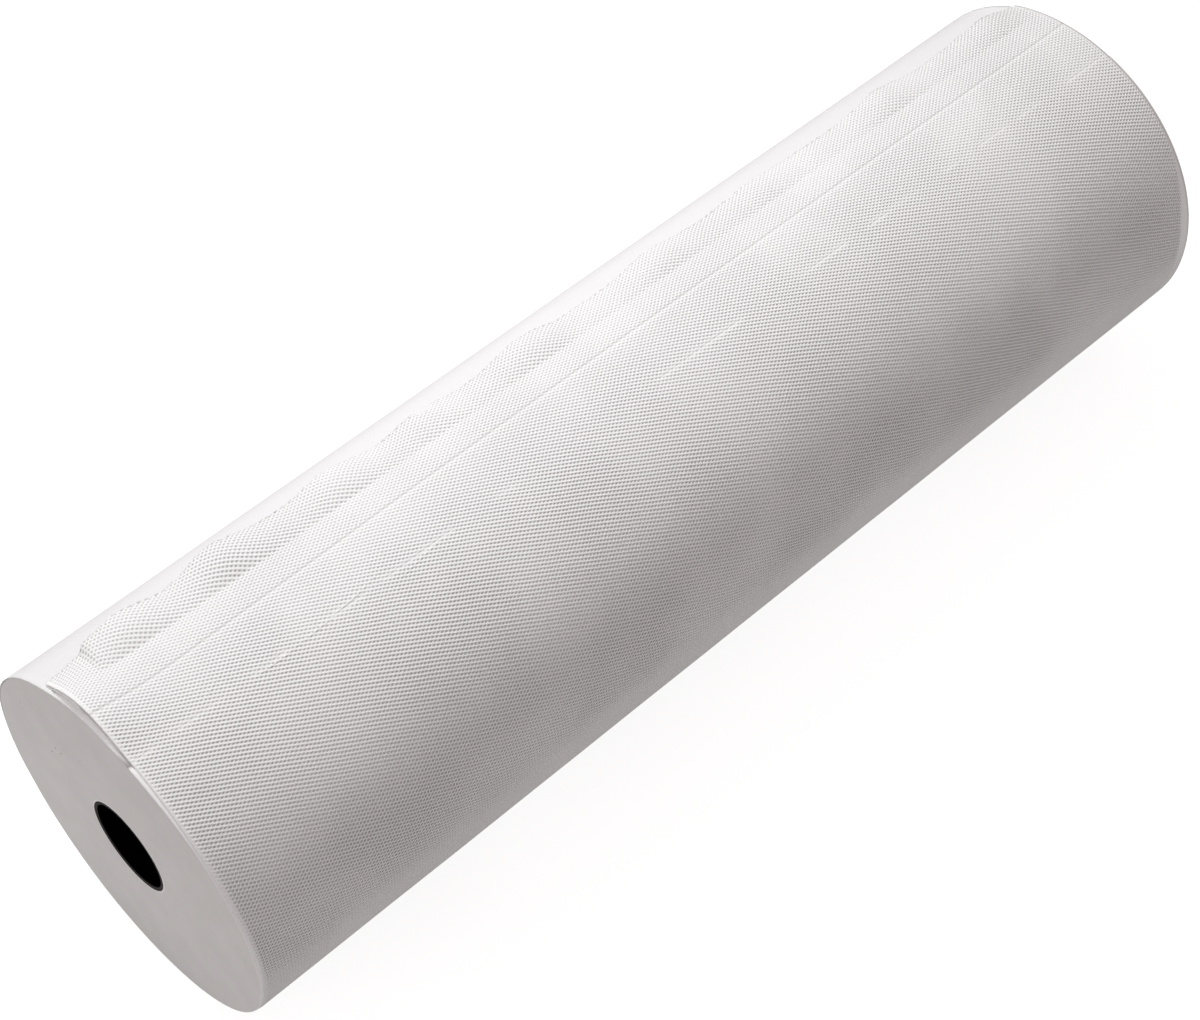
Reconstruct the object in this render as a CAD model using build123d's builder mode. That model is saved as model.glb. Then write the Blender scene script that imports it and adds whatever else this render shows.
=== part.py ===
from build123d import *

import os
from math import cos, exp, pi, radians, sin, sqrt

# Roll of embossed exam table paper on a board core, lying on its side.
# The roll's axis runs along X, +Z is up and +Y is the back. The origin is the middle of the
# flat spot that the soft roll lies on. Angles round the roll count from the top towards the back.

# Paper web
roll_length = 500.0
roll_radius = 73.5
sheet_thickness = 0.4
turn_slack = 0.2

# Board core that the first turn is glued to
core_bore_radius = 18.0
core_wall = 1.5

# Flat spot that the weight of the roll presses into it
flat_width = 16.0

# Last turn: where the web ends, and the stretch before its end that stands off the roll
tail_angle = 26.0
loose_stretch = 39.0

# Flap: the torn end of the web stands up from a fold, but is held down at the ends of the roll
flap_stretch = 11.0
flap_lift = 3.2
flap_curl = 0.35
near_hold = 0.45
far_hold = 1.0
hold_reach = 12.0

# Ruffles of the flap: where each stands, as a share of the length from the near end, and its lift
ruffles = [
    (0.066, 3.0),
    (0.157, 3.0),
    (0.252, 2.0),
    (0.335, 1.6),
    (0.440, 2.4),
    (0.574, 1.8),
    (0.684, 1.2),
    (0.828, 2.0),
    (0.956, 1.6),
]
ruffle_reach = 15.0

# Bulge of the loose turn at the near end, the power of the sine that rounds it off, and how far short
# of the stretch's two ends it stops
bulge_lift = 4.0
bulge_power = 1.3
bulge_reach = 16.0
bulge_from_tail = 1.0
bulge_from_root = 2.0

# Ends: cut flat, with outer turns that stand back in steps
step_allowance = 0.2
near_step_depth = 0.6
far_step_depth = 0.5
far_step_count = 3

# Sections along the tail, stretches between the points of each, and arcs of the turn below
section_count = 72
flap_count = 4
bulge_count = 10
arc_count = 4

# Length that is made past each end and then trimmed, so that the tail's ends run true
overrun = 15.0

# Sizes that follow from the ones above
turn_pitch = sheet_thickness + turn_slack
step_width = turn_pitch + step_allowance
bulge_stretch = loose_stretch - bulge_from_tail - bulge_from_root
core_radius = core_bore_radius + core_wall
near_end = -roll_length / 2
far_end = roll_length / 2


def winding_radius(turned):
    """Radius of the web's outer face, so many degrees back from the tail."""
    return roll_radius - turn_pitch * turned / 360


bottom_radius = winding_radius(180 + tail_angle)
axis_height = sqrt(bottom_radius**2 - (flat_width / 2) ** 2)
roll_axis = Axis((0, 0, axis_height), (1, 0, 0))


def rim_point(radius, turned):
    """Point of a cross-section, so many degrees back from the tail."""
    angle = radians(tail_angle - turned)
    return (radius * sin(angle), axis_height + radius * cos(angle))


def winding_point(turned):
    """Point of the web's outer face, so many degrees back from the tail."""
    return rim_point(winding_radius(turned), turned)


def steps(first, last, count):
    """Values from first to last that part the way into so many equal steps."""
    return [first + (last - first) * i / count for i in range(count + 1)]


def edge_height(x):
    """How far the torn edge lifts at this place along the roll."""
    along = x - near_end
    ruffled = sum(top * exp(-(((along - share * roll_length) / ruffle_reach) ** 2)) for share, top in ruffles)
    near_held = near_hold * exp(-((along / hold_reach) ** 2))
    far_held = far_hold * exp(-(((roll_length - along) / hold_reach) ** 2))
    return (flap_lift + ruffled) * (1 - near_held - far_held)


def lift(x, turned):
    """How far the last turn stands off the winding at one place of the tail."""
    raised = max(0.0, 1 - turned / flap_stretch)
    flapped = raised * (1 + flap_curl - flap_curl * raised) * edge_height(x)
    across = min(1.0, max(0.0, (turned - bulge_from_tail) / bulge_stretch))
    bulged = bulge_lift * sin(pi * across) ** bulge_power * exp(-(((x - near_end) / bulge_reach) ** 2))
    return flapped + bulged


# Wound paper: one turn of the spiral outline, extruded, with the loose tail lofted on to it
with BuildPart() as paper_roll:
    arc_ends = steps(loose_stretch, loose_stretch + 360, arc_count)
    with BuildSketch(Plane.YZ.offset(near_end - overrun)):
        with BuildLine():
            for start, end in zip(arc_ends, arc_ends[1:]):
                ThreePointArc(*[winding_point(turned) for turned in (start, (start + end) / 2, end)])
            Line(winding_point(arc_ends[-1]), winding_point(arc_ends[0]))
        make_face()
    extrude(amount=roll_length + 2 * overrun)

    tail_steps = steps(loose_stretch, flap_stretch, bulge_count)[:-1] + steps(flap_stretch, 0, flap_count)
    unwound = [loose_stretch - turned for turned in tail_steps]
    for x in steps(near_end - overrun, far_end + overrun, section_count - 1):
        tops = [winding_radius(turned) + lift(x, turned) for turned in tail_steps]
        faces = [tops, [top - sheet_thickness for top in tops]]
        with BuildSketch(Plane.YZ.offset(x)):
            with BuildLine():
                outer, inner = [
                    Edge.make_spline(
                        [rim_point(radius, turned) for radius, turned in zip(face, tail_steps)],
                        parameters=unwound,
                    )
                    for face in faces
                ]
                add([outer, inner])
                Line(outer @ 0, inner @ 0)
                Line(outer @ 1, inner @ 1)
            make_face()
    loft()
    split(bisect_by=Plane.YZ.offset(near_end), keep=Keep.TOP)
    split(bisect_by=Plane.YZ.offset(far_end), keep=Keep.BOTTOM)

    # Seat of the core
    with BuildSketch(Plane.YZ.offset(near_end)):
        with Locations((0, axis_height)):
            Circle(core_radius)
    extrude(amount=roll_length, mode=Mode.SUBTRACT)

    # Outer turns that stand back in steps, one at the near end and more at the far end
    outside = roll_radius + 2 * (bulge_lift + flap_lift + max(top for _, top in ruffles))
    with BuildSketch(Plane.XZ):
        with Locations((near_end, axis_height + outside)):
            Rectangle(
                2 * near_step_depth,
                outside - roll_radius + step_width,
                align=(Align.CENTER, Align.MAX),
            )
        with Locations((far_end, axis_height + outside)):
            for step in range(far_step_count):
                Rectangle(
                    2 * far_step_depth * (far_step_count - step),
                    outside - roll_radius + step_width * (step + 1),
                    align=(Align.CENTER, Align.MAX),
                )
    revolve(axis=roll_axis, mode=Mode.SUBTRACT)

    # Flat spot
    split(bisect_by=Plane.XY, keep=Keep.TOP)
paper_roll.part.label = "paper_roll"

# Core: a plain board tube, cut flush with the paper
with BuildPart() as core_tube:
    with BuildSketch(Plane.YZ.offset(near_end)):
        with Locations((0, axis_height)):
            Circle(core_radius)
            Circle(core_bore_radius, mode=Mode.SUBTRACT)
    extrude(amount=roll_length)
core_tube.part.label = "core_tube"

os.makedirs("parts", exist_ok=True)
export_step(paper_roll.part, "parts/paper_roll.step")
export_step(core_tube.part, "parts/core_tube.step")
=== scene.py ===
# %% [markdown]
# # A roll of exam table paper
#
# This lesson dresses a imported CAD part: a roll of embossed white paper on a board core. The CAD
# solids give the size and place of everything, and this script adds what only a picture needs:
# the last turn of the web as a real sheet, its torn edge, the embossing and the light.

import math

import bmesh
import bpy
import numpy as np
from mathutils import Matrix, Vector, noise


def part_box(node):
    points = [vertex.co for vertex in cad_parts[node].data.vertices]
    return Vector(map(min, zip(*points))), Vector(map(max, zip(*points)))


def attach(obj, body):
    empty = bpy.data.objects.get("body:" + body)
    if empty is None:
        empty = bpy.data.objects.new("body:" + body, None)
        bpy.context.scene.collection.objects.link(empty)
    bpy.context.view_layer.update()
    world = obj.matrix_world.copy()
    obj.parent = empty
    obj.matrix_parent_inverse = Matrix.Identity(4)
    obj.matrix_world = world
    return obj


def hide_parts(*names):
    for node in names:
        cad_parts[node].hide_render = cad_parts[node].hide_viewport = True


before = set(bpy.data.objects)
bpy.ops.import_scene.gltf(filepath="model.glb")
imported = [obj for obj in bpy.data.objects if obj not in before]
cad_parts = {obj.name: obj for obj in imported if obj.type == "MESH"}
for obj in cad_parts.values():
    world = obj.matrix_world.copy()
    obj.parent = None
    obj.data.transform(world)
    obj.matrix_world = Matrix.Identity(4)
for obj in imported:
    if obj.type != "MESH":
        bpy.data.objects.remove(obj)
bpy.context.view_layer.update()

# %% [markdown]
# ## Sizes of the roll
#
# The roll lies along X. The web is wound as a spiral that ends at the torn edge, a little behind the
# top. All later steps count in millimetres along the roll from its near end, and back along the web
# from the torn edge, because a fold or a perforation is a straight line on the sheet and not in space.

# %% Sizes
MM = 0.001
TURN = 2 * math.pi
low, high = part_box("paper_roll")
core_low, core_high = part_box("core_tube")
NEAR_END = low.x
LENGTH = (high.x - low.x) / MM
AXIS_HEIGHT = (core_low.z + core_high.z) / 2
CORE_RADIUS = (core_high.z - core_low.z) / 2 / MM
ROLL_RADIUS = 73.5
SHEET = 0.4
TURN_PITCH = 0.6
TAIL_ANGLE = math.radians(26)
print("length", round(LENGTH, 1), "core radius", round(CORE_RADIUS, 2))
print("axis height", round(AXIS_HEIGHT, 5))

# %% [markdown]
# ## Camera
#
# The camera comes first, since every look at the work depends on it. Its place and lens were worked
# out from the outline of the roll's two ends, so the render and the photo can be laid over one another.

# %% Camera
scene = bpy.context.scene
camera = bpy.data.objects.new("camera", bpy.data.cameras.new("camera"))
scene.collection.objects.link(camera)
scene.camera = camera
camera.data.sensor_width = 36
camera.data.lens = 79.24
camera.data.clip_start = 0.01
camera.data.clip_end = 50
looking = Vector((0.42485, 0.44700, -0.78720))
camera.location = Vector((-0.46026, -0.46194, 0.80419 + AXIS_HEIGHT))
camera.rotation_mode = "QUATERNION"
camera.rotation_quaternion = looking.to_track_quat("-Z", "Y")
print("camera at", [round(v, 3) for v in camera.location])

# %% [markdown]
# ## How the last turn lies
#
# On the real roll the last turn is a thin sheet on the turn below. Its torn end stands up from a fold
# as a flap, and the flap is ruffled: it stands steeper at some places than at others. At the near end
# the turn gapes off the roll. Each of these is a small function of the place on the web, with sizes close
# to those of the CAD solid, so they can be added up and used for any sheet on the roll.

# %% Flap and gape
FLAP = math.radians(11) * ROLL_RADIUS
FLAP_LIFT, FLAP_LIFT_FAR = 3.2, 1.8
FLAP_FALLS = (105, 155)
FLAP_CURL = 0.8
NEAR_HOLD, FAR_HOLD, HOLD_REACH = 0.9, 1.0, 12.0
RUFFLES = [
    (31, 3.9),
    (76, 4.5),
    (127, 3.4),
    (168, 2.3),
    (219, 3.3),
    (287, 2.3),
    (342, 1.7),
    (414, 2.8),
    (478, 2.2),
]
RUFFLE_REACH = 14.0
PLEAT = (15.5, 18.5)
PLEAT_LOSS = 0.55
GAPE_LIFT = 4.0
GAPE_ROUND = 1.3
GAPE_REACH = 16.0
GAPE_FROM = math.radians(1) * ROLL_RADIUS
GAPE_TO = math.radians(37) * ROLL_RADIUS


def hump(value, middle, reach):
    """A smooth hump of height 1."""
    return np.exp(-(((value - middle) / reach) ** 2))


def soft_step(value, start, end):
    """A smooth step from 0 to 1."""
    share = np.clip((value - start) / (end - start), 0, 1)
    return share * share * (3 - 2 * share)


def flap_lift(along, back):
    """Lift of the flap in mm. A sharp pleat keeps it lower on the near side of the first ruffle."""
    height = FLAP_LIFT + (FLAP_LIFT_FAR - FLAP_LIFT) * soft_step(along, *FLAP_FALLS)
    height = height + sum(top * hump(along, place, RUFFLE_REACH) for place, top in RUFFLES)
    height = height * (1 - PLEAT_LOSS * (1 - soft_step(along, *PLEAT)))
    held = NEAR_HOLD * hump(along, 0, HOLD_REACH) + FAR_HOLD * hump(along, LENGTH, HOLD_REACH)
    raised = np.clip(1 - back / FLAP, 0, 1)
    return height * (1 - held) * raised * (1 + FLAP_CURL - FLAP_CURL * raised)


def gape_lift(along, back):
    """Lift of the loose turn in mm where it gapes at the near end."""
    across = np.clip((back - GAPE_FROM) / (GAPE_TO - GAPE_FROM), 0, 1)
    return GAPE_LIFT * np.sin(math.pi * across) ** GAPE_ROUND * hump(along, 0, GAPE_REACH)


print("torn edge lifts up to", round(float(flap_lift(np.arange(500.0), 0).max()), 2), "mm")

# %% [markdown]
# ## Creases, dents and slack
#
# Handling leaves marks that are far shallower than the flap: a long fold across the web, a few dents and
# slanting wrinkles, and slow waves, since no wound sheet lies quite true. They only show by how they
# catch the light, so their depth is a few tenths of a millimetre. The saw does not cut quite square
# either, so the near rim stands out along the top.

# %% Creases and dents
OUT_FRONT, OUT_TOP = 0.65, 0.5
FOLD_BACK = 27.9
FOLD_DEPTH = 0.10
FOLD_DRIFT = 1.2
FOLD_DRIFT_REACH = 90.0
DENTS = [(12.5, 74, 5, 0.35), (277, 115, 6, 0.35), (201, 88, 20, 0.2), (348, 111, 4, 0.15)]
WRINKLES = [
    (425, 43, 40, 22, 2.4, 0.25),
    (436, 38, 46, 18, 2.0, 0.2),
    (411, 46, 35, 16, 2.0, 0.18),
    (457, 62, 38, 16, 2.2, 0.15),
    (30.5, 158, 88, 14, 1.0, 0.2),
]


def stands_out(angle):
    """How far the near rim stands out along the top, in mm."""
    degrees = np.degrees(angle)
    front = soft_step(degrees, -50, -15) * (1 - soft_step(degrees, 65, 110))
    return OUT_FRONT * front + OUT_TOP * soft_step(degrees, 12, 28) * (1 - soft_step(degrees, 55, 90))


def long_fold(along, back):
    """The long fold across the web: a gentle side, then a steep one towards the torn edge."""
    off = back - FOLD_BACK - FOLD_DRIFT * np.clip(1 - along / FOLD_DRIFT_REACH, -0.6, 1)
    return -FOLD_DEPTH * np.where(off > 0, hump(off, 0, 1.8), hump(off, 0, 0.45))


def dents(along, back):
    """Soft dents from handling."""
    return -sum(depth * hump(along, x, reach) * hump(back, b, reach) for x, b, reach, depth in DENTS)


def wrinkles(along, back):
    """Soft ridges that run slantwise, each tapering to nothing at both ends."""
    total = 0
    for x, b, slant, reach, breadth, height in WRINKLES:
        turn = math.radians(slant)
        run = (along - x) * math.cos(turn) - (back - b) * math.sin(turn)
        side = (along - x) * math.sin(turn) + (back - b) * math.cos(turn)
        total = total + height * hump(run, 0, reach) * hump(side, 0, breadth)
    return total


def slack(along, back):
    """Slow waves in two sizes."""
    broad = 0.06 * np.sin(along / 31 + 0.7) * np.sin(back / 19 + 0.4)
    return broad + 0.04 * np.sin(along / 13 + back / 27) * np.sin(back / 11 - along / 40)


print("long fold", round(float(long_fold(100.0, np.linspace(20, 40, 200)).min()), 3), "mm deep")

# %% [markdown]
# ## Winding a flat sheet
#
# A sheet starts as a flat grid. Its UV map is written while it is flat, in millimetres along the roll
# and along the web, and then every vertex is wound on to the spiral. That way the embossing later
# follows the paper round the roll by itself.

# %% Winding
UV_SPAN = 500.0


def wind(along, back, lift):
    """Points in metres for mm along the roll, mm back from the torn edge and mm of lift."""
    turned = back / ROLL_RADIUS
    radius = (ROLL_RADIUS - TURN_PITCH * turned / TURN + lift) * MM
    angle = TAIL_ANGLE - turned
    up = np.maximum(AXIS_HEIGHT + radius * np.cos(angle), 0)
    return np.stack([NEAR_END + along * MM, radius * np.sin(angle), up], axis=1)


def flat_grid(columns, rows, fine_rows=0, cuts=0):
    """A flat grid over the unit square, whose first rows can be cut finer along the roll."""
    bm = bmesh.new()
    bmesh.ops.create_grid(bm, x_segments=columns, y_segments=rows, size=0.5)
    bmesh.ops.translate(bm, verts=bm.verts, vec=(0.5, 0.5, 0))
    limit = (fine_rows + 0.5) / rows
    first = [e for e in bm.edges if all(v.co.y < limit for v in e.verts)]
    level = [e for e in first if abs(e.verts[0].co.y - e.verts[1].co.y) < 1e-6]
    if cuts:
        bmesh.ops.subdivide_edges(bm, edges=level, cuts=cuts, use_grid_fill=True)
    return bm


def wind_sheet(bm, place, lift):
    """Writes the UV map and winds the grid: place gives mm along and back, lift the mm off the roll."""
    bm.verts.index_update()
    share = np.array([v.co for v in bm.verts])
    along, back = place(share[:, 0], share[:, 1])
    uv = bm.loops.layers.uv.new("web")
    for face in bm.faces:
        for loop in face.loops:
            at = loop.vert.index
            loop[uv].uv = (along[at] / UV_SPAN, back[at] / UV_SPAN)
    for vert, point in zip(bm.verts, wind(along, back, lift(along, back))):
        vert.co = point


def keep(bm, name, smooth_below=180):
    """Makes an object of a bmesh, at the origin, riding on the part's one body."""
    bmesh.ops.recalc_face_normals(bm, faces=bm.faces)
    mesh = bpy.data.meshes.new(name)
    bm.to_mesh(mesh)
    bm.free()
    mesh.shade_smooth()
    mesh.set_sharp_from_angle(angle=math.radians(smooth_below))
    piece = bpy.data.objects.new(name, mesh)
    scene.collection.objects.link(piece)
    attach(piece, "root")
    print(name, len(mesh.vertices), "vertices", len(mesh.polygons), "faces")
    return piece


def thicken(sheet, thickness):
    """Turns a sheet's faces away from the axis and gives it thickness towards the roll."""
    face = sheet.data.polygons[0]
    if face.normal.dot(face.center - Vector((face.center.x, 0, AXIS_HEIGHT))) < 0:
        sheet.data.flip_normals()
    wall = sheet.modifiers.new("thickness", "SOLIDIFY")
    wall.thickness = thickness * MM
    wall.offset = -1


# %% [markdown]
# ## The last turn
#
# One sheet goes once round the roll and on under its own flap. Rows of the grid lie close where the flap,
# the fold and the front show, and wide behind. The torn edge is ragged: the perforation leaves small
# teeth and the pull one deeper notch, so the first rows are cut finer and moved to and fro along the web.

# %% The last turn
NEAR_SET_BACK = 0.5
LOOSE_SET_BACK = 0.5
FAR_SET_BACK = 2.4
LOOSE = math.radians(39) * ROLL_RADIUS
TIGHTENS = (48, 85)
UNDER_FLAP = (330, 360)
RIM_PRESS, RIM_PRESS_REACH = 0.38, 0.9
ROW_STOPS = [0, 2.1, FLAP - 2, FLAP + 2, 26, 30.6, 48, 180, TURN * ROLL_RADIUS + LOOSE]
ROW_COUNTS = [5, 8, 8, 7, 16, 9, 54, 44]
COLUMN_STOPS = [0, 4, 30, 500]
COLUMN_COUNTS = [6, 24, 260]
TEAR = 0.55
NOTCH, NOTCH_DEPTH = 170.0, 2.6


def rough(value, scale, seed):
    """Smooth noise from -1 to 1 along one line."""
    return np.array([noise.noise((v * scale, seed, 0.5)) for v in value])


def spaced(share, stops, counts):
    """Turns even steps from 0 to 1 into so many steps between each two stops."""
    return np.interp(share, np.concatenate([[0], np.cumsum(counts)]) / sum(counts), stops)


def near_edge(back):
    """How far the sheet's edge stands back from the near end, more where the turn is loose."""
    flush = NEAR_SET_BACK + stands_out(TAIL_ANGLE - back / ROLL_RADIUS + TURN)
    strip = soft_step(back, *UNDER_FLAP) * flush
    return NEAR_SET_BACK + LOOSE_SET_BACK * (1 - soft_step(back, *TIGHTENS)) - strip


def place_last_turn(share_along, share_back):
    """Mm along the roll and back from the torn edge, with the tear in the first rows."""
    back = spaced(share_back, ROW_STOPS, ROW_COUNTS)
    start = near_edge(back)
    along = start + spaced(share_along, COLUMN_STOPS, COLUMN_COUNTS) / 500 * (LENGTH - FAR_SET_BACK - start)
    torn = rough(along, 0.85, 3.1) + 0.8 * rough(along, 0.3, 8.4) + 1.2 * rough(along, 0.05, 5.7)
    notch = NOTCH_DEPTH * soft_step(along, NOTCH - 3.5, NOTCH - 0.5)
    notch = notch * (1 - soft_step(along, NOTCH, NOTCH + 7))
    return along, back + TEAR * torn * hump(back, 0, 2.2) + notch * hump(back, 0, 5)


def lift_last_turn(along, back):
    """All lifts together. Under its own flap the sheet lies flat."""
    free = np.clip((TURN * ROLL_RADIUS - 22 - back) / 20, 0, 1)
    marks = long_fold(along, back) + dents(along, back) + wrinkles(along, back) + slack(along, back)
    rim = RIM_PRESS * hump(along, NEAR_SET_BACK, RIM_PRESS_REACH)
    rim = rim * soft_step(back, *TIGHTENS) * (1 - soft_step(back, *UNDER_FLAP))
    ruffled = 0.5 * rough(along, 0.11, 2.2) * np.clip(1 - back / FLAP, 0, 1)
    return flap_lift(along, back) + gape_lift(along, back) + ruffled + marks * free - rim


bm = flat_grid(sum(COLUMN_COUNTS), sum(ROW_COUNTS), fine_rows=4, cuts=2)
wind_sheet(bm, place_last_turn, lift_last_turn)
last_turn = keep(bm, "last_turn")
thicken(last_turn, SHEET)
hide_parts("paper_roll")

# %% [markdown]
# ## A loose ply at the near end
#
# Where the last turn gapes, the inner ply of the web has come apart from the outer one. It shows as a thin
# sheet in the gap, just under the loose turn.

# %% Loose ply
PLY = 0.1
PLY_FROM, PLY_TO = 1.0, 30.0
PLY_DEEP = 24.0
PLY_SET_BACK = 0.6
PLY_TAPERS = (5, 8)
PLY_SHARE = 0.9
PLY_CLEAR = 0.08


def place_ply(share_along, share_back):
    """Mm along the roll and back from the torn edge."""
    return PLY_SET_BACK + share_along * PLY_DEEP, PLY_FROM + share_back * (PLY_TO - PLY_FROM)


def lift_ply(along, back):
    """Lift of the ply, which tapers down to the roll at both sides."""
    tapered = np.clip((back - PLY_FROM) / PLY_TAPERS[0], 0, 1)
    tapered = tapered * np.clip((PLY_TO - back) / PLY_TAPERS[1], 0, 1)
    return -SHEET - PLY_CLEAR + PLY_SHARE * gape_lift(along, back) * tapered


bm = flat_grid(20, 40)
wind_sheet(bm, place_ply, lift_ply)
loose_ply = keep(bm, "loose_ply")
thicken(loose_ply, PLY)
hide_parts("paper_roll")

# %% [markdown]
# ## The turns below
#
# Under the last turn the wound paper is one firm body. Its half-section is a closed chain of vertices,
# spun once round the axis. Then its rim is moved in or out by angle, so that it follows the spiral and
# lies just under the last turn. Between the ends it keeps clear of the dents and folds above it. At the
# near end it rises with the gaping turn and stands out along the top, and at the far end the outer turns
# stand back in steps.

# %% The turns below
RIM = 73.0
STEP_DEPTH = 0.5
STEP_WIDTH = 0.8
CLEAR = 0.02
SUNK = 0.4
FOLLOW_SHARE = 0.78


def body_profile():
    """(mm along, radius in mm) round the half-section, out at the near end and in at the far one."""
    chain = [(0, CORE_RADIUS), (0, RIM - 0.5), (0.12, RIM - 0.25), (0.4, RIM - 0.08), (1.2, RIM), (3, RIM)]
    chain += [(5, RIM - SUNK)] + [(x, RIM - SUNK) for x in (8, 12, 18, 26, 40)]
    chain += [(LENGTH - 6, RIM - SUNK), (LENGTH - 4, RIM)]
    chain += [(LENGTH - 3 * STEP_DEPTH - 0.2, RIM), (LENGTH - 3 * STEP_DEPTH, RIM - 0.1)]
    for step in range(3):
        radius = RIM - 0.4 - STEP_WIDTH * step
        deep = STEP_DEPTH * (3 - step)
        chain += [(LENGTH - deep, radius), (LENGTH - deep + STEP_DEPTH - 0.08, radius)]
        chain += [(LENGTH - deep + STEP_DEPTH, radius - 0.08)]
    return chain + [(LENGTH, CORE_RADIUS)]


def spun(profile, steps):
    """A closed ring of the profile, spun about the roll's axis."""
    bm = bmesh.new()
    ring = [bm.verts.new((NEAR_END + x * MM, 0, AXIS_HEIGHT + r * MM)) for x, r in profile]
    for first, second in zip(ring, ring[1:] + ring[:1]):
        bm.edges.new((first, second))
    bmesh.ops.spin(
        bm,
        geom=bm.verts[:] + bm.edges[:],
        cent=(0, 0, AXIS_HEIGHT),
        axis=(1, 0, 0),
        angle=TURN,
        steps=steps,
        use_merge=True,
    )
    bmesh.ops.remove_doubles(bm, verts=bm.verts, dist=1e-6)
    return bm


def rim_shift(angle):
    """How far the rim moves in or out at this angle, in mm, to lie just under the last turn."""
    turned = (TAIL_ANGLE - angle) % TURN
    if turned < LOOSE / ROLL_RADIUS + 0.01:
        turned += TURN
    return ROLL_RADIUS - TURN_PITCH * turned / TURN - SHEET - CLEAR - RIM


def rim_follow(along, angle):
    """How far the outer turns rise with the gaping one, in mm, more behind the end than at it."""
    back = (TAIL_ANGLE - angle) * ROLL_RADIUS
    if not 0 < back < LOOSE:
        return 0.0
    return FOLLOW_SHARE * soft_step(along, 0, 1.5) * soft_step(back, 1, 12) * gape_lift(along, back)


bm = spun(body_profile(), 240)
for vert in bm.verts:
    out = Vector((0, vert.co.y, vert.co.z - AXIS_HEIGHT))
    if out.length > (CORE_RADIUS + 10) * MM:
        angle = math.atan2(out.y, out.z)
        along = (vert.co.x - NEAR_END) / MM
        shift = rim_shift(angle) + rim_follow(along, angle)
        vert.co += out.normalized() * float(shift) * MM
        vert.co.x -= float(stands_out(angle) * (1 - soft_step(along, 0, 2))) * MM
    vert.co.z = max(vert.co.z, SHEET * MM)
inner_turns = keep(bm, "inner_turns", 30)
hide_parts("paper_roll")

# %% [markdown]
# ## The core
#
# The core is a board tube cut flush with the paper. Its section is spun like the body's, with small
# bevelled corners that catch a thin line of light at the mouth.

# %% The core
BORE_RADIUS = CORE_RADIUS - 1.5
CORNER = 0.2


def tube_profile():
    """(mm along, radius in mm) round the wall of the core, with its corners taken off."""
    outer = [(CORNER, CORE_RADIUS), (LENGTH - CORNER, CORE_RADIUS), (LENGTH, CORE_RADIUS - CORNER)]
    inner = [(LENGTH, BORE_RADIUS + CORNER), (LENGTH - CORNER, BORE_RADIUS), (CORNER, BORE_RADIUS)]
    return outer + inner + [(0, BORE_RADIUS + CORNER), (0, CORE_RADIUS - CORNER)]


board_core = keep(spun(tube_profile(), 120), "board_core", 30)
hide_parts("core_tube")

# %% [markdown]
# ## Node helpers
#
# The finishes are built from Math nodes, so a few short helpers make and link them. Numbers go straight on
# the sockets and only real links are linked.

# %% Node helpers


def add(tree, kind, values=(), **settings):
    """A node with settings, and socket values by name."""
    node = tree.nodes.new(kind)
    for key, value in settings.items():
        setattr(node, key, value)
    for key, value in dict(values).items():
        node.inputs[key].default_value = value
    return node


def feed(tree, socket, value):
    """Links a socket to another one, or sets it to a number or a colour."""
    if isinstance(value, tuple):
        socket.default_value = (*value, 1.0)
    elif isinstance(value, (int, float)):
        socket.default_value = value
    else:
        tree.links.new(value, socket)


def maths(tree, operation, *values, clamp=False):
    """A Math node fed by sockets or numbers, returning its output."""
    node = add(tree, "ShaderNodeMath", operation=operation, use_clamp=clamp)
    for socket, value in zip(node.inputs, values):
        feed(tree, socket, value)
    return node.outputs[0]


def ramp(tree, value, start, end, first=0.0, last=1.0):
    """A smooth step from first to last, as value goes from start to end."""
    node = add(tree, "ShaderNodeMapRange", interpolation_type="SMOOTHSTEP")
    keys = ("Value", "From Min", "From Max", "To Min", "To Max")
    for key, number in zip(keys, (value, start, end, first, last)):
        feed(tree, node.inputs[key], number)
    return node.outputs["Result"]


def cloud(tree, vector, scale, detail=2.0):
    """A Noise texture's value."""
    node = add(tree, "ShaderNodeTexNoise", {"Scale": scale, "Detail": detail})
    tree.links.new(vector, node.inputs["Vector"])
    return node.outputs["Fac"]


def mixed(tree, factor, first, second):
    """A Mix node on colours."""
    node = add(tree, "ShaderNodeMix", data_type="RGBA")
    sockets = (node.inputs["Factor"], node.inputs[6], node.inputs[7])
    for socket, value in zip(sockets, (factor, first, second)):
        feed(tree, socket, value)
    return node.outputs[2]


def bumped(tree, shader, height, distance, strength=1.0):
    """Feeds a height through a Bump node to the shader's normal."""
    bump = add(tree, "ShaderNodeBump", {"Strength": strength, "Distance": distance})
    tree.links.new(height, bump.inputs["Height"])
    tree.links.new(bump.outputs["Normal"], shader.inputs["Normal"])


def new_group(name, inputs, outputs):
    """An empty shader node group with named value sockets."""
    tree = bpy.data.node_groups.new(name, "ShaderNodeTree")
    for socket in inputs:
        tree.interface.new_socket(socket, in_out="INPUT", socket_type="NodeSocketFloat")
    for socket in outputs:
        tree.interface.new_socket(socket, in_out="OUTPUT", socket_type="NodeSocketFloat")
    return tree, tree.nodes.new("NodeGroupInput").outputs, tree.nodes.new("NodeGroupOutput").inputs


def new_material(name, roughness):
    """A material with a matt Principled shader."""
    material = bpy.data.materials.new(name)
    material.use_nodes = True
    shader = material.node_tree.nodes["Principled BSDF"]
    shader.inputs["Roughness"].default_value = roughness
    shader.inputs["Specular IOR Level"].default_value = 0.15
    return material, material.node_tree, shader
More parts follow.
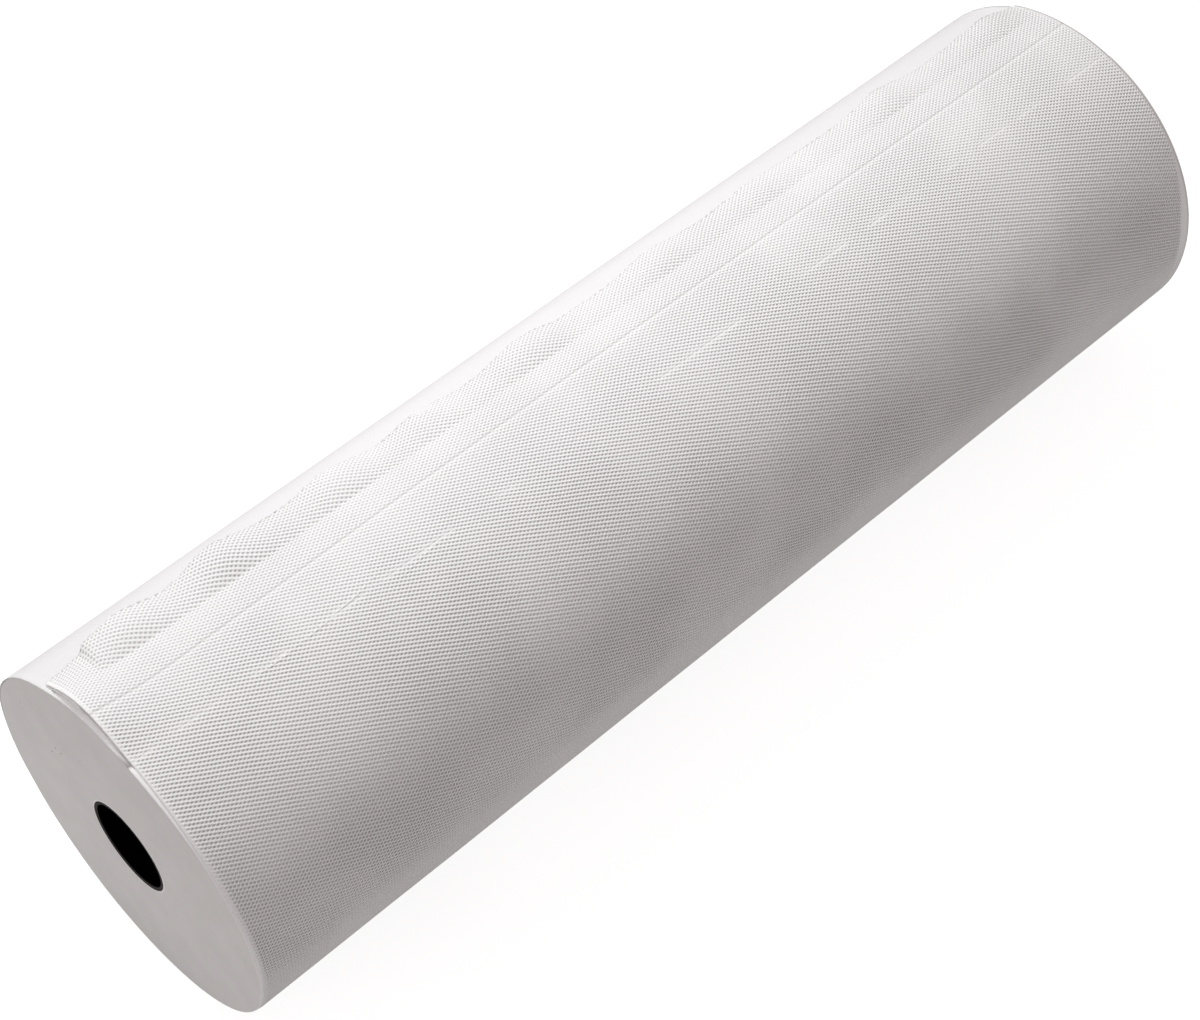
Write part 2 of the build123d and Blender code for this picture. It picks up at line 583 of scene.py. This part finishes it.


# %% [markdown]
# ## Embossing
#
# Two plies are pressed together by a roller with fine studs, which leaves rows of small pits. On the sheet
# the pits form a skewed lattice. Four cosine waves along the lattice's directions add up to one smooth
# field with a peak at every pit, so no image and no geometry is needed. Each line of the list gives the
# waves per millimetre along the roll and along the web, the depth at the tail and on the front, and the
# share in the painted shade of the pits.

# %% Embossing group
LATTICE = [
    (0.3180, -0.6288, 1.2, 1.35, 1.15),
    (0.4569, 0.6186, 0.25, 0.85, 0.1),
    (0.7749, -0.0102, 0.8, 0.8, 0.75),
    (0.1389, 1.2474, 0.35, 0.35, 0.3),
]
AT_TAIL, IN_FRONT = 10.0, 95.0
SHADE_FROM, SHADE_FULL = 0.5, 2.4
PRESS = -0.42


def embossing_group():
    """Pits of the embossing, from mm along the roll and mm along the web."""
    tree, given, made = new_group("embossing", ["Along", "Back"], ["Pit", "Height"])
    depth = 0.0
    shade = 0.0
    for per_along, per_back, at_tail, in_front, dark in LATTICE:
        by_along = maths(tree, "MULTIPLY", given["Along"], per_along * TURN)
        by_back = maths(tree, "MULTIPLY", given["Back"], per_back * TURN)
        wave = maths(tree, "COSINE", maths(tree, "ADD", by_along, by_back))
        deep = ramp(tree, given["Back"], AT_TAIL, IN_FRONT, at_tail, in_front)
        depth = maths(tree, "MULTIPLY_ADD", wave, deep, depth)
        shade = maths(tree, "MULTIPLY_ADD", wave, dark, shade)
    tree.links.new(ramp(tree, shade, SHADE_FROM, SHADE_FULL), made["Pit"])
    tree.links.new(maths(tree, "MULTIPLY", depth, PRESS), made["Height"])
    return tree


embossing = embossing_group()
print(embossing.name, len(embossing.nodes), "nodes")

# %% [markdown]
# ## Scratches
#
# A thin line on the web is described by where its middle is, how it slants, how long and how wide it is.
# One node group draws such a line, and the paper uses it several times.

# %% Streak group


def streak_group():
    """A thin straight line on the web, 1 along its middle and fading at its sides and ends."""
    sockets = ["Along", "Back", "Line Along", "Line Back", "Slant", "Reach", "Width"]
    tree, given, made = new_group("streak", sockets, ["Line"])
    away = maths(tree, "SUBTRACT", given["Along"], given["Line Along"])
    off = maths(tree, "SUBTRACT", given["Back"], given["Line Back"])
    cosine = maths(tree, "COSINE", given["Slant"])
    sine = maths(tree, "SINE", given["Slant"])
    run = maths(tree, "SUBTRACT", maths(tree, "MULTIPLY", away, cosine), maths(tree, "MULTIPLY", off, sine))
    side = maths(tree, "ADD", maths(tree, "MULTIPLY", away, sine), maths(tree, "MULTIPLY", off, cosine))
    across = maths(tree, "ABSOLUTE", maths(tree, "DIVIDE", side, given["Width"]))
    ends = maths(tree, "ABSOLUTE", maths(tree, "DIVIDE", run, given["Reach"]))
    fade = maths(tree, "SUBTRACT", 1.0, maths(tree, "POWER", ends, 4.0), clamp=True)
    narrow = maths(tree, "SUBTRACT", 1.0, across, clamp=True)
    tree.links.new(maths(tree, "MULTIPLY", narrow, fade), made["Line"])
    return tree


streak = streak_group()
print(streak.name, len(streak.nodes), "nodes")

# %% [markdown]
# ## Where the embossing is worn
#
# The embossing is pressed flat along the cut edges and beside the fold, it is uneven in a slow way, the low
# front is worn, and the stretch that was wound tight under the flap has nearly lost it. All this is one
# factor, read from the place on the web, which the UV map gives. The scratches are placed here too.

# %% Worn embossing
PRESSED_FROM = TURN * ROLL_RADIUS - 60
PRESSED_OVER = (PRESSED_FROM - 30, PRESSED_FROM)
PRESSED_LEFT = 0.15
LOW_FROM, LOW_TO = (138.0, 162.0), (188.0, 225.0)
LOW_LOSS = 0.7
SCRATCHES = [
    (72, 51.0, 2, 20, 0.6),
    (90, 49.7, 5, 16, 0.6),
    (62, 51.5, -2, 9, 0.5),
    (104, 47.9, 9, 9, 0.5),
    (127, 51.7, 8, 14, 0.5),
    (38, 45.5, 24, 8, 0.5),
]


def web_place(tree):
    """The web's UV map, and mm along the roll and mm back from the torn edge from it."""
    web = add(tree, "ShaderNodeUVMap", uv_map="web").outputs["UV"]
    parts = add(tree, "ShaderNodeSeparateXYZ")
    tree.links.new(web, parts.inputs[0])
    return web, *[maths(tree, "MULTIPLY", parts.outputs[axis], UV_SPAN) for axis in (0, 1)]


def off_fold(tree, along, back):
    """Mm from the long fold, negative towards the torn edge."""
    drift = maths(tree, "MULTIPLY_ADD", along, -1 / FOLD_DRIFT_REACH, 1.0)
    drift = maths(tree, "MULTIPLY_ADD", maths(tree, "MAXIMUM", drift, -0.6), FOLD_DRIFT, FOLD_BACK)
    return maths(tree, "SUBTRACT", back, drift)


def low_side(tree, back):
    """1 along the low front, where the web is worn smooth and painted a little greyer as shade."""
    return maths(tree, "MULTIPLY", ramp(tree, back, *LOW_FROM), ramp(tree, back, *LOW_TO, 1.0, 0.0))


def emboss_strength(tree, web, along, back, fold_off):
    """How deep the embossing is pressed, from place to place."""
    before = ramp(tree, fold_off, -0.3, -0.9)
    beside_fold = maths(tree, "MAXIMUM", ramp(tree, fold_off, 0.9, 2.0, 0.7), before)
    strength = ramp(tree, cloud(tree, web, 9.0), 0.3, 0.65, 0.75, 1.05)
    nearer = maths(tree, "ADD", along, ramp(tree, back, 95.0, 135.0, 0.0, 4.0))
    for factor in (
        ramp(tree, along, 0.8, 3.5),
        ramp(tree, nearer, LENGTH - 5, LENGTH - 2, 1.0, 0.0),
        beside_fold,
        ramp(tree, back, 20.0, 60.0, 1.15, 1.05),
        maths(tree, "SUBTRACT", 1.0, maths(tree, "MULTIPLY", low_side(tree, back), LOW_LOSS)),
        ramp(tree, back, *PRESSED_OVER, 1.0, PRESSED_LEFT),
    ):
        strength = maths(tree, "MULTIPLY", strength, factor)
    return strength


def scratch_lines(tree, along, back):
    """All scratches together."""
    lines = 0.0
    for x, b, slant, reach, width in SCRATCHES:
        line = add(tree, "ShaderNodeGroup", node_tree=streak)
        settings = (along, back, float(x), b, math.radians(slant), float(reach), width)
        for socket, value in zip(line.inputs, settings):
            feed(tree, socket, value)
        lines = maths(tree, "ADD", line.outputs["Line"], lines)
    return lines


print("worn smooth from", round(PRESSED_FROM), "mm back,", len(SCRATCHES), "scratches")

# %% [markdown]
# ## The paper's finish
#
# Embossed tissue is a plain matt white: what the eye reads is the shading of the pits. The pits go into a
# Bump node, and their bottoms are painted darker, as the shade that falls between the plies. A perforation
# runs across the web as a faint groove with a little painted shade in it, and dark marks of painted shade
# along the flap's torn edge stand for the gaps under its teeth. The fold and the far edge of the sheet get
# lines of painted shade. The low front, the back and the smooth strip past the torn edge are painted greyer
# as shade, and the cut rim is painted whiter as a highlight.

# %% Paper material
PAPER_WHITE = (0.90, 0.89, 0.885)
# Painted shade for the bottoms of the pits, also used on the low front.
PIT_SHADE = (0.58, 0.57, 0.565)
# Painted shade for the smooth strip past the torn edge, and a darker one for the back.
STRIP_SHADE = (0.80, 0.787, 0.79)
BACK_SHADE = (0.71, 0.70, 0.70)
# Painted shade for dark marks and lines: the gaps at the torn edge, the fold, the perforation and the far
# edge.
LINE_SHADE = (0.38, 0.37, 0.36)
# Painted highlight for the cut rims.
RIM_HIGHLIGHT = (0.95, 0.94, 0.935)
PERFORATION_BACK = 50.0
TEETH = 3.3
EMBOSS_DEPTH = 0.00027
DEEPER_OVER, DEEPER_TIMES = (80.0, 125.0), 1.75
SCRATCH_HEIGHT, GROOVE_HEIGHT, FUZZ_HEIGHT = 0.45, -0.5, 0.3
# Painted shade on the low front.
LOW_FRONT_SHADE = 0.33
BACK_SHADE_TO = (PRESSED_FROM + 18, PRESSED_FROM + 48)
RIM_HIGHLIGHT_FROM = (40.0, 85.0)


def paper_material():
    """Matt white paper with its embossing, fold, perforation, scratches and torn edge."""
    material, tree, shader = new_material("embossed_paper", 0.9)
    web, along, back = web_place(tree)

    stray = maths(tree, "MULTIPLY_ADD", cloud(tree, web, 22.0, 1.0), 1.1, -0.55)
    emboss = add(tree, "ShaderNodeGroup", node_tree=embossing)
    tree.links.new(maths(tree, "ADD", along, stray), emboss.inputs["Along"])
    tree.links.new(maths(tree, "ADD", back, stray), emboss.inputs["Back"])

    line_off = maths(tree, "ABSOLUTE", maths(tree, "SUBTRACT", back, PERFORATION_BACK))
    worn = ramp(tree, cloud(tree, web, 26.0, 1.0), 0.4, 0.6)
    streaked = maths(tree, "MULTIPLY", ramp(tree, line_off, 0.4, 1.8, 1.0, 0.0), worn)
    streaked = maths(tree, "MULTIPLY_ADD", streaked, -0.5, 1.0)
    fold_off = off_fold(tree, along, back)
    strength = maths(tree, "MULTIPLY", emboss_strength(tree, web, along, back, fold_off), streaked)
    groove = maths(tree, "MULTIPLY", ramp(tree, line_off, 0.0, 0.6, 1.0, 0.0), worn)

    deeper = maths(tree, "MULTIPLY", strength, ramp(tree, back, *DEEPER_OVER, 1.0, DEEPER_TIMES))
    height = maths(tree, "MULTIPLY", emboss.outputs["Height"], deeper)
    height = maths(tree, "MULTIPLY_ADD", scratch_lines(tree, along, back), SCRATCH_HEIGHT, height)
    height = maths(tree, "MULTIPLY_ADD", groove, GROOVE_HEIGHT, height)
    height = maths(tree, "MULTIPLY_ADD", cloud(tree, web, 700.0), FUZZ_HEIGHT, height)
    bumped(tree, shader, height, EMBOSS_DEPTH)

    # Painted shade: the bottoms of the pits are darkened in the colour.
    pits = maths(tree, "MULTIPLY", emboss.outputs["Pit"], strength, clamp=True)
    colour = mixed(tree, pits, PAPER_WHITE, PIT_SHADE)
    # Painted shade: the low front is darkened towards the pits' shade.
    colour = mixed(tree, maths(tree, "MULTIPLY", low_side(tree, back), LOW_FRONT_SHADE), colour, PIT_SHADE)
    # Painted shade: dark marks between the teeth along the torn edge, for the gaps under the lifted flap.
    beat = maths(tree, "COSINE", maths(tree, "MULTIPLY", maths(tree, "ADD", along, stray), TURN / TEETH))
    teeth = ramp(tree, beat, 0.0, 0.7, 0.05, 1.0)
    torn = maths(tree, "MULTIPLY", ramp(tree, back, 0.3, 0.9, 0.65, 0.0), teeth)
    torn = maths(tree, "MULTIPLY", torn, ramp(tree, cloud(tree, web, 18.0), 0.42, 0.62, 0.15, 1.0))
    colour = mixed(tree, torn, colour, LINE_SHADE)
    # Painted shade: a dark line on the steep side of the fold, and a faint one in the perforation's groove.
    fades = ramp(tree, fold_off, 0.0, 0.3, 0.3, 0.0)
    fold_shade = maths(tree, "MULTIPLY", ramp(tree, fold_off, -0.9, -0.5), fades)
    colour = mixed(tree, maths(tree, "MULTIPLY_ADD", groove, 0.12, fold_shade), colour, LINE_SHADE)
    # Painted highlight: a whiter band along the near cut rim.
    rim_highlight = ramp(tree, along, 0.6, 1.4, 1.0, 0.0)
    rim_highlight = maths(tree, "MULTIPLY", rim_highlight, ramp(tree, back, *RIM_HIGHLIGHT_FROM))
    colour = mixed(tree, rim_highlight, colour, RIM_HIGHLIGHT)
    # Painted shade: the back and the smooth strip past the torn edge are greyer, darkest towards the back.
    strip_and_back_shade = mixed(tree, ramp(tree, back, *BACK_SHADE_TO), BACK_SHADE, STRIP_SHADE)
    colour = mixed(tree, ramp(tree, back, *PRESSED_OVER), colour, strip_and_back_shade)
    # Painted shade: a dark line along the far edge of the sheet, where it steps down to the turns below.
    sheet_end = LENGTH - FAR_SET_BACK
    far_edge_shade = ramp(tree, along, sheet_end - 0.5, sheet_end - 0.2, 0.0, 0.5)
    colour = mixed(tree, far_edge_shade, colour, LINE_SHADE)
    tree.links.new(colour, shader.inputs["Base Color"])
    return material


embossed_paper = paper_material()
last_turn.data.materials.append(embossed_paper)
loose_ply.data.materials.append(embossed_paper)
print(embossed_paper.name, len(embossed_paper.node_tree.nodes), "nodes")

# %% [markdown]
# ## The cut ends
#
# A log saw cuts the roll to width, so the ends are a dense stack of paper edges: smooth, a little darker
# than the sheet, with hardly visible rings where turns lie tighter and a few dark specks. Rings follow the
# distance from the axis, which Object coordinates give directly. Thin rings at the outer rim and at the
# core's mouth are painted whiter, as highlights.

# %% Cut paper material
CUT_PAPER = (0.80, 0.785, 0.775)
CUT_PAPER_PALE = (0.84, 0.825, 0.815)
SPECK = (0.06, 0.055, 0.05)
SPECKS = [(35.6, 24.2, 0.45), (39.5, 17.7, 0.45), (32.6, 23.8, 0.4), (53.5, 33.9, 0.3), (18.8, 34.9, 0.3)]


def cut_paper_material():
    """Dense paper edges with faint rings, a few specks and rims painted whiter as highlights."""
    material, tree, shader = new_material("cut_paper", 0.95)
    place = add(tree, "ShaderNodeTexCoord").outputs["Object"]
    parts = add(tree, "ShaderNodeSeparateXYZ")
    tree.links.new(place, parts.inputs[0])
    rise = maths(tree, "SUBTRACT", parts.outputs[2], AXIS_HEIGHT)
    side = parts.outputs[1]
    squares = maths(tree, "MULTIPLY_ADD", rise, rise, maths(tree, "MULTIPLY", side, side))
    radius = maths(tree, "MULTIPLY", maths(tree, "SQRT", squares), 1 / MM)
    ring_look = {"Scale": 1.2, "Detail": 4.0, "Roughness": 0.7}
    rings = add(tree, "ShaderNodeTexNoise", ring_look, noise_dimensions="1D")
    tree.links.new(radius, rings.inputs["W"])
    blotches = maths(tree, "MULTIPLY", cloud(tree, place, 60.0), 0.8)
    tone = maths(tree, "MULTIPLY_ADD", rings.outputs["Fac"], 0.2, blotches)
    colour = mixed(tree, ramp(tree, tone, 0.3, 0.7), CUT_PAPER, CUT_PAPER_PALE)
    near_face = ramp(tree, parts.outputs[0], NEAR_END + MM, NEAR_END + 2 * MM, 1.0, 0.0)
    for across, up, reach in SPECKS:
        away = maths(tree, "SUBTRACT", side, across * MM)
        above = maths(tree, "SUBTRACT", rise, up * MM)
        far = maths(tree, "MULTIPLY_ADD", away, away, maths(tree, "MULTIPLY", above, above))
        dot = ramp(tree, maths(tree, "SQRT", far), reach * 0.5 * MM, reach * MM, 1.0, 0.0)
        colour = mixed(tree, maths(tree, "MULTIPLY", dot, near_face), colour, SPECK)
    # Painted highlights: whiter rings at the core's mouth and along the outer rim.
    hole_highlight = ramp(tree, radius, CORE_RADIUS + 0.5, CORE_RADIUS + 0.9, 1.0, 0.0)
    colour = mixed(tree, hole_highlight, colour, RIM_HIGHLIGHT)
    colour = mixed(tree, ramp(tree, radius, RIM - 0.6, RIM - 0.35), colour, RIM_HIGHLIGHT)
    tree.links.new(colour, shader.inputs["Base Color"])
    bumped(tree, shader, rings.outputs["Fac"], 0.0001, 0.1)
    return material


cut_paper = cut_paper_material()
inner_turns.data.materials.append(cut_paper)
print(cut_paper.name, len(cut_paper.node_tree.nodes), "nodes")

# %% [markdown]
# ## The board
#
# The core is grey recycled board. Its cut mouth shows dark grey, and light hardly reaches the inside, so
# the wall's colour is painted near black just inside the mouth, as shade.

# %% Board material
BOARD = (0.06, 0.057, 0.055)
BOARD_PALE = (0.095, 0.09, 0.086)
TUBE_SHADE = (0.001, 0.001, 0.001)
MOUTH = (0.0001, 0.0006)


def board_material():
    """Dark grey board, painted near black inside the tube as shade."""
    material, tree, shader = new_material("grey_board", 0.9)
    shader.inputs["Specular IOR Level"].default_value = 0.0
    place = add(tree, "ShaderNodeTexCoord").outputs["Object"]
    parts = add(tree, "ShaderNodeSeparateXYZ")
    tree.links.new(place, parts.inputs[0])
    fibre = cloud(tree, place, 900.0, 4.0)
    colour = mixed(tree, ramp(tree, fibre, 0.3, 0.7), BOARD, BOARD_PALE)
    # Painted shade: near black just inside the mouth of the tube.
    from_end = maths(tree, "SUBTRACT", LENGTH / 2 * MM, maths(tree, "ABSOLUTE", parts.outputs[0]))
    deep = ramp(tree, from_end, *MOUTH)
    tree.links.new(mixed(tree, deep, colour, TUBE_SHADE), shader.inputs["Base Color"])
    bumped(tree, shader, fibre, 0.00008, 0.5)
    return material


grey_board = board_material()
board_core.data.materials.append(grey_board)
print(grey_board.name, len(grey_board.node_tree.nodes), "nodes")

# %% [markdown]
# ## Light
#
# A round soft lamp hangs above and behind the roll, near enough that the roll's ends are a little darker
# than its middle. A weak broad lamp fills the near end, and an even pale world fills the rest.

# %% Light
scene.view_settings.view_transform = "Standard"


def aimed(lamp, towards, distance, target):
    """Puts a lamp at a distance from the target, shining at it."""
    made = bpy.data.objects.new(lamp.name, lamp)
    scene.collection.objects.link(made)
    towards = Vector(towards).normalized()
    made.location = Vector(target) + towards * distance
    made.rotation_mode = "QUATERNION"
    made.rotation_quaternion = (-towards).to_track_quat("-Z", "Y")
    made.visible_camera = False
    print(lamp.name, "at", [round(v, 2) for v in made.location])
    return made


KEY_TILT = math.radians(28)
key_lamp = bpy.data.lights.new("key_lamp", "AREA")
key_lamp.shape = "DISK"
key_lamp.size = 0.42
key_lamp.energy = 4.42
key_lamp.color = (0.985, 1.0, 1.025)
aimed(key_lamp, (-0.03, math.sin(KEY_TILT), math.cos(KEY_TILT)), 0.8, (0, 0, AXIS_HEIGHT))

end_lamp = bpy.data.lights.new("end_lamp", "AREA")
end_lamp.shape = "DISK"
end_lamp.size = 0.5
end_lamp.energy = 0.65
aimed(end_lamp, (-1, 0.1, 0.45), 1.0, (NEAR_END, 0, AXIS_HEIGHT))

# %% [markdown]
# ## Floor and background
#
# The photo's background is pure white, so rays from the camera see a white world, and a floor that is
# nearly white by itself with enough of a matt surface to keep the roll's soft shadow. Other rays see a
# plain pale world and a pale floor.

# %% Floor and background


def seen_directly(tree):
    """1 for rays from the camera, and for those that a gloss or a clear thing passes on."""
    path = add(tree, "ShaderNodeLightPath").outputs
    passed = maths(tree, "MAXIMUM", path["Is Glossy Ray"], path["Is Transmission Ray"])
    return maths(tree, "MAXIMUM", path["Is Camera Ray"], passed)


def chosen(tree, factor, first, second):
    """A Mix Shader node."""
    node = add(tree, "ShaderNodeMixShader")
    for socket, value in zip(node.inputs, (factor, first, second)):
        tree.links.new(value, socket)
    return node.outputs[0]


world = bpy.data.worlds.new("studio")
scene.world = world
world.use_nodes = True
tree = world.node_tree
tree.nodes.clear()
fill = add(tree, "ShaderNodeBackground", {"Color": (1.045, 0.98, 0.97, 1), "Strength": 0.435})
white = add(tree, "ShaderNodeBackground", {"Color": (1, 1, 1, 1), "Strength": 1.0})
shown = chosen(tree, seen_directly(tree), fill.outputs[0], white.outputs[0])
tree.links.new(shown, add(tree, "ShaderNodeOutputWorld").inputs[0])

bm = bmesh.new()
bmesh.ops.create_grid(bm, x_segments=1, y_segments=1, size=6)
mesh = bpy.data.meshes.new("floor")
bm.to_mesh(mesh)
bm.free()
floor = bpy.data.objects.new("floor", mesh)
scene.collection.objects.link(floor)


def glowing(tree, colour, glow):
    """A matt colour with some white glow of its own."""
    matt = add(tree, "ShaderNodeBsdfDiffuse", {"Color": (*colour, 1)})
    emission = add(tree, "ShaderNodeEmission", {"Color": (1, 1, 1, 1), "Strength": glow})
    both = add(tree, "ShaderNodeAddShader")
    tree.links.new(matt.outputs[0], both.inputs[0])
    tree.links.new(emission.outputs[0], both.inputs[1])
    return both.outputs[0]


paint = bpy.data.materials.new("floor_paint")
paint.use_nodes = True
tree = paint.node_tree
tree.nodes.clear()
for_others = glowing(tree, (0.37, 0.36, 0.355), 0.25)
for_camera = glowing(tree, (0.55, 0.55, 0.55), 0.78)
shown = chosen(tree, seen_directly(tree), for_others, for_camera)
tree.links.new(shown, add(tree, "ShaderNodeOutputMaterial").inputs[0])
floor.data.materials.append(paint)
print("floor", [round(v, 1) for v in floor.dimensions])
